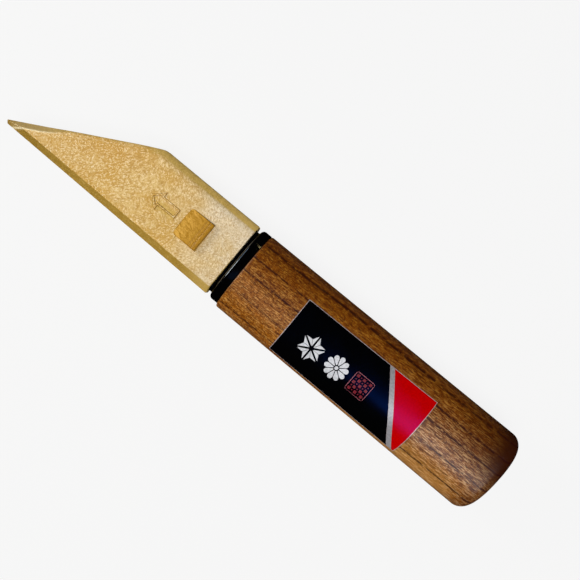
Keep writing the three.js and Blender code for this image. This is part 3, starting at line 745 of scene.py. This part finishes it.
def soft_min(a, b, width):
    mixed = np.clip(0.5 + 0.5 * (b - a) / width, 0, 1)
    return b * (1 - mixed) + a * mixed - width * mixed * (1 - mixed)


def ease(value):
    value = np.clip(value, 0, 1)
    return value * value * (3 - 2 * value)


# Places across a bevel, as shares of its width, dense where the surface bends.
SPINE_STEPS = np.array([0, 0.05, 0.15, 0.3, 0.5, 0.7, 0.82, 0.9, 0.95, 1.0])
LOW_STEPS = np.array([0, 0.01, 0.035, 0.08, 0.14, 0.22, 0.32, 0.44, 0.58, 0.72, 0.84, 0.93, 1.0])
FACE_STEPS = np.array([0, 0.01, 0.03, 0.07, *np.arange(0.15, 0.9, 0.1), 0.93, 0.97, 0.99, 1])


def cap_ring(x, high_y, low_y, half, spine_bevel, low_width, low_height, roundness):
    """A section of the cap at x: upper side from spine to edge, then the underside back.

    A bevel has a width and a height; roundness turns the low one from a flat into a quarter ellipse.
    """
    width = high_y - low_y
    spine_width, spine_height = spine_bevel
    share = min(1.0, width / (spine_width + low_width))
    from_spine = SPINE_STEPS * spine_width * share
    from_low = LOW_STEPS * low_width * share
    middle = FACE_STEPS * (width - from_spine[-1] - from_low[-1]) + from_spine[-1]
    across = np.concatenate([from_spine, middle[1:-1], width - from_low[::-1]])
    spine_part = across / spine_width
    low_share = np.clip((width - across) / low_width, 0, 1)
    rounded = np.sqrt(np.maximum(0, 1 - (1 - low_share) ** 2))
    low_part = low_share * (1 - roundness) + rounded * roundness
    low_part = np.where(width - across > low_width, (width - across) / low_width, low_part)
    spine_rise = half - spine_height * (1 - spine_part)
    low_rise = half - low_height * (1 - low_part)
    low_ridge = soft_min(low_rise, np.full_like(across, half), 0.1 + 0.9 * roundness)
    height = soft_min(spine_rise, low_ridge, 0.16)
    y = high_y - across
    return np.concatenate([section(x, y, AXIS_Z + height), section(x, y, AXIS_Z - height)[::-1]])


def on_slant(x):
    """0 along the straight edge side, 1 on the slant."""
    return ease((x - SHOULDER_X + 4) / 12)


def near_tip(x):
    return ease((x - SHOULDER_X - 25) / 10)


def low_bevel(x):
    """Width, height and roundness of the bevel on the low side.

    Broad and soft along the straight edge side, narrow along most of the slant, crisp near the tip.
    """
    change = TIP_BEVEL_GAIN * near_tip(x) - SLANT_BEVEL_LOSS * on_slant(x)
    return EDGE_BEVEL + change, (BEVEL_HEIGHT + change) * draft(x), 0.45 * (1 - near_tip(x))


def outer_ring(x, shrink=0.0, at=None):
    """The cap's outer section, optionally shrunk all round, placed at another x."""
    # The tip's rounding is a circle that touches the spine and slant lines, which meet at sharp_x.
    rise = EDGE_Y - SPINE_Y + SPINE_SLOPE * MOUTH_X - SLANT_SLOPE * SHOULDER_X
    sharp_x = rise / (SPINE_SLOPE - SLANT_SLOPE)
    half_angle = (atan(SLANT_SLOPE) - atan(SPINE_SLOPE)) / 2
    bisector = (atan(SLANT_SLOPE) + atan(SPINE_SLOPE)) / 2
    reach = TIP_RADIUS / sin(half_angle)
    centre_x = sharp_x - reach * cos(bisector)
    centre_y = spine_line(sharp_x) - reach * sin(bisector)
    high_y, low_y = spine_line(x), low_line(x)
    bow = sqrt(max(0.0, TIP_RADIUS**2 - (x - centre_x) ** 2))
    if x > centre_x:
        high_y = min(high_y, centre_y + bow)
    if x > centre_x + TIP_RADIUS * SLANT_SLOPE / SLANT_STRETCH:
        low_y = max(low_y, centre_y - bow)
    spine_width = SPINE_BEVEL - SPINE_BEVEL_LOSS * (x - MOUTH_X) / CAP_DRAFT_LENGTH
    return cap_ring(
        x if at is None else at,
        high_y - shrink,
        low_y + shrink,
        CAP_HALF * draft(x) - shrink,
        (spine_width, BEVEL_HEIGHT * draft(x)),
        *low_bevel(x),
    )


def inner_ring(x, at=None):
    """The section of the cap's hollow."""
    slanted = ease((x - SHOULDER_X + 2) / 4)
    low_y = low_line(x) + EDGE_WALL + (SLANT_WALL * SLANT_STRETCH - EDGE_WALL) * slanted
    rise = HOLLOW_BEVEL_HEIGHT * draft(x)
    return cap_ring(
        x if at is None else at,
        spine_line(x) - SPINE_WALL,
        low_y,
        (CAP_HALF - FACE_WALL) * draft(x),
        (HOLLOW_BEVEL_WIDTH, rise),
        HOLLOW_BEVEL_WIDTH + 0.2 * slanted,
        rise,
        0.2,
    )


def make_pad():
    """The thumb ramp: rises toward the mouth, ends in a wall, with two ribs beside the wall."""
    stations = [0, 0.015, 0.03, 0.06, 0.12, 0.2, 0.3, 0.4, 0.5, 0.58, 0.64, 0.68, 0.71]
    stations += [0.735, 0.76, 0.785, 0.81, 0.835, 0.86, 0.885, 0.91, 0.935, 0.955, 0.975, 0.99, 1.0]
    sides = [0, 0.008, 0.02, 0.04, 0.07], [0.93, 0.96, 0.98, 0.992, 1]
    across = np.concatenate([sides[0], np.linspace(0.12, 0.88, 18), sides[1]])
    length, width = PAD_TIP_X - PAD_MOUTH_X, PAD_HIGH_Y - PAD_LOW_Y
    top = []
    for share in stations:
        rise = PAD_HEIGHT * (PAD_TOE_RISE + PAD_RAMP_RISE * share**PAD_RAMP_POWER)
        for groove in PAD_GROOVES:
            rise -= PAD_GROOVE_DEPTH * exp(-(((share - groove) / PAD_GROOVE_WIDTH) ** 2))
        rise -= PAD_WALL_DROP * ease((share - 1 + PAD_WALL_SHARE) / PAD_WALL_SHARE) ** 2
        short = max(0.0, PAD_CORNER - share * length)
        corner = PAD_CORNER - sqrt(PAD_CORNER**2 - short**2)
        row = []
        for part in across:
            inward = min(1.0, min(part, 1 - part) * width / PAD_SIDE_ROUNDING)
            rounding = PAD_SIDE_ROUNDING * (1 - sqrt(max(0.0, 1 - (1 - inward) ** 2)))
            arch = 1 - (2 * part - 1) ** 2
            x = PAD_TIP_X + PAD_TOE_BOW * arch * (1 - share) - length * share
            y = PAD_LOW_Y + corner + (width - 2 * corner) * part
            row.append([x, y, cap_face(x) + max(0.0, rise - rounding + PAD_CROWN * arch * share)])
        top.append(row)
    top = np.array(top)
    rows, columns = top.shape[:2]
    bottom = top.copy()
    bottom[:, :, 2] = cap_face(PAD_TIP_X) - PAD_ROOT
    points = np.concatenate([top.reshape(-1, 3), bottom.reshape(-1, 3)])
    under = rows * columns
    faces = []
    for r in range(rows - 1):
        for c in range(columns - 1):
            a = r * columns + c
            quad = (a, a + 1, a + columns + 1, a + columns)
            faces.append(quad)
            faces.append(tuple(under + i for i in reversed(quad)))
    last = columns - 1
    rim = [*range(last), *range(last, under - 1, columns)]
    rim += [*range(under - 1, under - columns, -1), *range(under - columns, 0, -columns)]
    for a, b in zip(rim, rim[1:] + rim[:1]):
        faces.append((a, b, under + b, under + a))
    return mesh_object("pad_tool", points, faces)


def offset_outline(outline, amount):
    """A closed outline moved outward by an amount, with mitred corners."""
    outline = np.asarray(outline, float)
    before = outline - np.roll(outline, 1, 0)
    after = np.roll(outline, -1, 0) - outline
    before /= np.linalg.norm(before, axis=1)[:, None]
    after /= np.linalg.norm(after, axis=1)[:, None]
    normal_a = np.stack([before[:, 1], -before[:, 0]], 1)
    normal_b = np.stack([after[:, 1], -after[:, 0]], 1)
    miter = normal_a + normal_b
    miter /= np.sum(miter * normal_a, 1)[:, None]
    return outline + miter * amount


def make_arrow():
    """A raised line in the shape of an arrow that points to the tip."""
    tip_x, head_x, tail_x = (MOUTH_X + reach for reach in ARROW_REACHES)
    half = [(head_x, ARROW_HEAD), (head_x, ARROW_SHAFT), (tail_x, ARROW_SHAFT)]
    outline = [(x, ARROW_MID_Y - y) for x, y in half]
    outline += [(x, ARROW_MID_Y + y) for x, y in reversed(half)] + [(tip_x, ARROW_MID_Y)]
    rings = []
    for out, rise in ARROW_LINE:
        flat = offset_outline(outline, out)
        rings.append(np.column_stack([flat, cap_face(flat[:, 0]) + rise]))
    return mesh_object("arrow_tool", *loft(rings, loop=True))


def make_cap():
    tip_zone = TIP_X - 1.4
    turns = np.linspace(pi / 2 * 0.985, 0, 16)
    rings = [outer_ring(tip_zone + (TIP_X - tip_zone) * sin(turned)) for turned in turns]
    rings += [outer_ring(x) for x in np.arange(tip_zone - 0.45, MOUTH_X + 0.6, -0.45)]
    for ahead, shrink in quarter_round(MOUTH_ROUNDING, 6):
        rings.append(outer_ring(MOUTH_X + 0.3, shrink, MOUTH_X + ahead))
    rings += [inner_ring(MOUTH_X), inner_ring(MOUTH_X, MOUTH_X + 0.15)]
    rings += [inner_ring(x) for x in np.arange(MOUTH_X + 0.6, TIP_X - 6.6, 1.1)]
    piece = mesh_object("cap_shell", *loft(rings), "cap", "cap_plastic")
    join(piece, make_pad())
    join(piece, make_arrow())
    smooth(piece.data)
    mesh = piece.data
    x, y, z = coordinates(mesh).T
    normals = np.empty(len(x) * 3)
    mesh.vertex_normals.foreach_get("vector", normals)
    level = np.abs(normals.reshape(-1, 3)[:, 2])
    outside = np.abs(z - AXIS_Z) > (CAP_HALF - 0.9) * draft(x)
    on_pad = (x > PAD_MOUTH_X - 0.05) & (x < PAD_TIP_X + 0.5)
    on_pad &= (y > PAD_LOW_Y - 0.05) & (y < PAD_HIGH_Y + 0.05)
    above = z - cap_face(x)
    on_ramp = on_pad & (above > 0.02)
    by_place = ease((y - low_line(x) - 2.0) / 0.7)
    low_side = by_place + (ease((level - 0.66) / 0.32) - by_place) * on_slant(x)
    grained = np.where(y > 0, ease((level - 0.78) / 0.18), low_side)
    write_attribute(mesh, "grained", grained * outside)
    # The ramp attribute marks the ramp and grows toward its wall, where it drives the ramp's painted shade.
    up_ramp = np.clip((PAD_TIP_X - x) / (PAD_TIP_X - PAD_MOUTH_X), 0, 1)
    write_attribute(mesh, "ramp", np.where(on_ramp, 0.5 + 0.5 * up_ramp, 0))
    # Painted shade: darker lines along the ramp's rim and ribs, and on the arrow's flanks.
    from_side = np.minimum(y - PAD_LOW_Y, PAD_HIGH_Y - y)
    from_end = np.minimum(x - PAD_MOUTH_X, PAD_TIP_X + 0.15 - x)
    rim = ease(1 - np.minimum(from_side, from_end) / 0.4)
    ribs = sum(np.exp(-(((up_ramp - groove) / 0.03) ** 2)) for groove in PAD_GROOVES)
    flank = (above > 0.005) & (above < 0.25) & (level < 0.995) & ~on_pad
    write_attribute(mesh, "seam", np.where(on_ramp, np.maximum(rim, 0.8 * ribs), flank))
    # A golden handling stain beside the slant.
    from_stain = x - MOUTH_X - 50
    stain = np.exp(-((from_stain / 12) ** 2) - ((y + 3.5 - 0.4 * from_stain) / 5.5) ** 2)
    write_attribute(mesh, "stain", stain)
    # Painted highlight along the low bevel's ridge near the tip, with painted light on the slant facet
    # below it.
    ridge = low_line(x) + low_bevel(x)[0]
    worn = np.exp(-(((y - ridge) / 0.28) ** 2)) + 0.2 * (y < ridge)
    worn = near_tip(x) * ease((TIP_X - x) / 4) * worn
    write_attribute(mesh, "worn", worn * (z > AXIS_Z))
    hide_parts("sheath_cap")
    dress(piece, cap_material())


# --- label


def between_ends(x, front, back):
    """The value at x, from those at the label's front and back ends."""
    return front + (back - front) * ((x - LABEL_FRONT_X) / (LABEL_BACK_X - LABEL_FRONT_X))


class LabelSheet:
    """Maps the label's flat coordinates, x along the handle and arc length round it, onto the wood."""

    def __init__(self):
        self.angles = np.linspace(radians(2), radians(178), 1200)
        self.outlines = [handle_ring(x, self.angles)[:, 1:] for x in (LABEL_FRONT_X, LABEL_BACK_X)]
        self.tables = [self.arc_table(outline) for outline in self.outlines]

    def arc_table(self, outline):
        steps = np.hypot(*np.diff(outline, axis=0).T)
        arc = np.concatenate([[0], np.cumsum(steps)])
        return np.interp(pi / 2, self.angles, arc) - arc

    def place(self, x, arc, lift):
        """The point over the wood's surface, lifted off it by the given distance."""
        angle = between_ends(x, *(np.interp(-arc, -table, self.angles) for table in self.tables))
        here = handle_ring(x, angle + np.array([-0.002, 0, 0.002]))[:, 1:]
        along = here[2] - here[0]
        normal = np.array([along[1], -along[0]]) / np.hypot(*along)
        y, z = here[1] + normal * lift
        return (x, y, z)

    def arc_at(self, x, y):
        """The arc length at a place across the handle."""
        ends = zip(self.outlines, self.tables)
        return between_ends(x, *(np.interp(-y, -outline[:, 0], table) for outline, table in ends))


def wrapped(sheet, name, outlines, low, high, material):
    """Flat outlines cut into strips and wrapped on the handle, as plates from low to high over it."""
    work = bmesh.new()
    for outline in outlines:
        work.faces.new([work.verts.new((x, arc, 0)) for x, arc in outline])
    arcs = [v.co.y for v in work.verts]
    for cut in np.arange(min(arcs) // 1, max(arcs), 0.7):
        geometry = list(work.verts) + list(work.edges) + list(work.faces)
        bmesh.ops.bisect_plane(work, geom=geometry, plane_co=(0, cut, 0), plane_no=(0, 1, 0), dist=1e-5)
    bmesh.ops.triangulate(work, faces=[f for f in work.faces if len(f.verts) > 4])
    work.verts.ensure_lookup_table()
    flat = [tuple(v.co) for v in work.verts]
    faces = [tuple(v.index for v in f.verts) for f in work.faces]
    border = [tuple(v.index for v in e.verts) for e in work.edges if e.is_boundary]
    work.free()
    count = len(flat)
    points = [sheet.place(x, arc, lift) for lift in (high, low) for x, arc, _ in flat]
    solid = faces + [tuple(count + i for i in reversed(f)) for f in faces]
    solid += [(a, b, count + b, count + a) for a, b in border]
    piece = mesh_object(name, points, solid, "knife", "label_foil", merge=1e-6)
    dress(piece, material)
    return piece


def rounded_square(centre, half_x, half_y, radius, steps=6):
    points = []
    for quarter, (sx, sy) in enumerate(((1, 1), (-1, 1), (-1, -1), (1, -1))):
        for step in range(steps + 1):
            turned = pi / 2 * (quarter + step / steps)
            points.append((
                centre[0] + sx * (half_x - radius) + radius * cos(turned),
                centre[1] + sy * (half_y - radius) + radius * sin(turned),
            ))
    return points


def ring_pieces(outer, inner):
    """The band between two outlines of equal count, as separate quads joined edge to edge."""
    count = len(outer)
    return [[outer[i], outer[(i + 1) % count], inner[(i + 1) % count], inner[i]] for i in range(count)]


def placed(shape, centre, scale, angle):
    """An outline scaled, turned and moved to a centre."""
    c, s = cos(angle), sin(angle)
    return [(centre[0] + scale * (x * c - y * s), centre[1] + scale * (x * s + y * c)) for x, y in shape]


def leaf_star(centre, radius):
    """Six-pointed hemp-leaf crest: twelve leaves with thin gaps between them."""
    pieces = []
    for k in range(6):
        middle = radians(60 * k + 30)
        for side in (-1, 1):
            root, elbow, near = (0.13, 0.065), (0.52, 0.285), (0.88, 0.055)
            shape = [root, elbow, near] if side > 0 else [root, near, elbow]
            pieces.append(placed([(x, side * y) for x, y in shape], centre, radius, middle))
    return pieces


def petal_wheel(centre, radius):
    """Flower crest: rounded petals round a small disc."""
    petals = 10
    disc = [(0.15 * cos(a), 0.15 * sin(a)) for a in around(16)]
    round_end = np.linspace(-pi / 2.2, pi / 2.2, 7)
    tip = [(0.8 + 0.2 * cos(a), 0.2 * sin(a)) for a in round_end]
    petal = [(0.24, -0.04), (0.7, -0.2), *tip, (0.7, 0.2), (0.24, 0.04)]
    wheel = [placed(petal, centre, radius, 2 * pi * (k + 0.5) / petals) for k in range(petals)]
    return [placed(disc, centre, radius, 0)] + wheel


def make_label():
    sheet = LabelSheet()
    front, back = LABEL_FRONT_X, LABEL_BACK_X
    low_arcs = [sheet.arc_at(x, y) for x, y in zip((front, back), LABEL_LOW_Y)]
    high_arcs = [sheet.arc_at(x, y) for x, y in zip((front, back), LABEL_HIGH_Y)]
    edge = LABEL_BORDER / (high_arcs[0] - low_arcs[0])

    def at(x, share):
        """A point of the label, by x and the share of the way from its low to its high edge."""
        low, high = between_ends(x, *low_arcs), between_ends(x, *high_arcs)
        return x, low + (high - low) * share

    def panel(front_low, front_high, back_low, back_high):
        """A panel inside the border, by the x of its corners."""
        return [at(front_low, edge), at(front_high, 1 - edge), at(back_high, 1 - edge), at(back_low, edge)]

    inks = {name: foil_material("label_" + name, *look) for name, look in INKS.items()}
    outline = [(front, low_arcs[0]), (front, high_arcs[0]), (back, high_arcs[1]), (back, low_arcs[1])]
    base = wrapped(sheet, "label_foil_sheet", [outline], FOIL_LOW, FOIL_TOP, inks["foil"])
    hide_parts("label")
    start, end = front - LABEL_BORDER, back + LABEL_BORDER
    low_from, low_to = (front - reach for reach in STRIPE_LOW)
    high_from, high_to = (front - reach for reach in STRIPE_HIGH)
    lap = STRIPE_LAP
    black = panel(start, start, low_from, high_from)
    red = panel(low_to, high_to, end, end)
    stripe = panel(low_from - lap, high_from - lap, low_to + lap, high_to + lap)
    places = [(front - reach, sheet.arc_at(front - reach, y)) for reach, y in CREST_PLACES]
    leaf, wheel, middle = places
    seal_frame = [rounded_square(middle, *sizes) for sizes in ((3.5, 3.45, 0.7), (3.32, 3.27, 0.55))]
    tiles = []
    cell = SEAL_WIDTH / SEAL_CELLS
    for row in range(SEAL_CELLS):
        for column in range(SEAL_CELLS):
            half = cell * (0.4 if (row + column) % 2 == 0 else 0.16)
            x = middle[0] + (column - SEAL_CELLS // 2) * cell
            y = middle[1] + (row - SEAL_CELLS // 2) * cell
            corners = (-half, -half), (half, -half), (half, half), (-half, half)
            tiles.append([(x + out_x, y + out_y) for out_x, out_y in corners])
    for name, shapes, low, high, ink in (
        ("label_black_panel", [black], FOIL_TOP, PANEL_TOP, "black"),
        ("label_red_panel", [red], FOIL_TOP, PANEL_TOP, "red"),
        ("label_silver_stripe", [stripe], FOIL_TOP, STRIPE_TOP, "silver"),
        ("label_leaf_crest", leaf_star(leaf, LEAF_RADIUS), PANEL_TOP, CREST_TOP, "white"),
        ("label_wheel_crest", petal_wheel(wheel, WHEEL_RADIUS), PANEL_TOP, CREST_TOP, "white"),
        ("label_seal_frame", ring_pieces(*seal_frame), PANEL_TOP, CREST_TOP, "pink"),
        ("label_seal_tiles", tiles, PANEL_TOP, CREST_TOP, "seal"),
    ):
        wrapped(sheet, name, shapes, low, high, inks[ink])


# --- carried-over CAD nodes


def dress_cad_nodes():
    iron = steel_material("blade_iron", (0.36, 0.36, 0.37), (0.2, 0.2, 0.21), 0.42, 0.1)
    steel = steel_material("blade_steel", (0.72, 0.73, 0.75), (0.5, 0.51, 0.53), 0.2, 1.0)
    dressing = {"blade_iron_body": iron, "blade_steel_edge": steel, "tang_bedding": resin_material()}
    for name, material in dressing.items():
        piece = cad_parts[name]
        if not piece.material_slots:
            piece.data.materials.append(material)
        for slot in piece.material_slots:
            slot.material = material


# --- stage


def area_light(name, place, target, size, power, colour):
    data = bpy.data.lights.new(name, "AREA")
    data.shape = "RECTANGLE"
    data.size, data.size_y = size
    data.energy = power
    data.color = colour
    light = linked(name, data)
    light.location = place
    light.rotation_euler = (Vector(target) - Vector(place)).to_track_quat("-Z", "Y").to_euler()
    light.visible_glossy = name != UNMIRRORED_LIGHT


def studio_world():
    """A soft dome, brightest overhead, that gloss hardly mirrors and that shows as a pale backdrop."""
    world = bpy.data.worlds.new("studio")
    graph = Graph(world)
    up = graph.node("SeparateXYZ", {0: graph.node("TexCoord").outputs["Generated"]}).outputs["Z"]
    limits = {"Value": up, "From Min": 0.05, "From Max": 0.9, "To Min": 0.0075, "To Max": 0.0725}
    dome = graph.node("MapRange", limits).outputs[0]
    rays = graph.node("LightPath").outputs
    dim = graph.node("Mix", {"Factor": rays["Is Glossy Ray"], "A": dome, "B": 0.0005}).outputs[0]
    pale = graph.node("Mix", {"Factor": rays["Is Camera Ray"], "A": dim, "B": 0.93}).outputs[0]
    background = graph.tree.nodes["Background"].inputs
    graph.feed(background["Color"], (1, 1, 1))
    graph.feed(background["Strength"], pale)
    bpy.context.scene.world = world


def make_stage():
    half = FLOOR_HALF
    mesh = bpy.data.meshes.new("floor")
    corners = [(-half, -half, 0), (half, -half, 0), (half, half, 0), (-half, half, 0)]
    mesh.from_pydata(corners, [], [(0, 1, 2, 3)])
    floor = linked("floor", mesh)
    dress(floor, floor_material())
    floor.visible_glossy = False
    studio_world()
    for light in LIGHTS:
        area_light(*light)


def make_camera():
    data = bpy.data.cameras.new("camera")
    data.lens = CAMERA_LENS
    data.sensor_width = 36
    data.clip_start = 0.01
    camera = linked("camera", data)
    camera.location = (CAMERA_X, CAMERA_Y, AXIS_Z * MM + CAMERA_RISE)
    camera.rotation_euler = (0, 0, radians(CAMERA_TURN))
    bpy.context.scene.camera = camera


make_camera()
make_stage()
make_handle()
make_ferrule()
make_cap()
make_label()
dress_cad_nodes()
bpy.context.scene.view_settings.view_transform = "Standard"
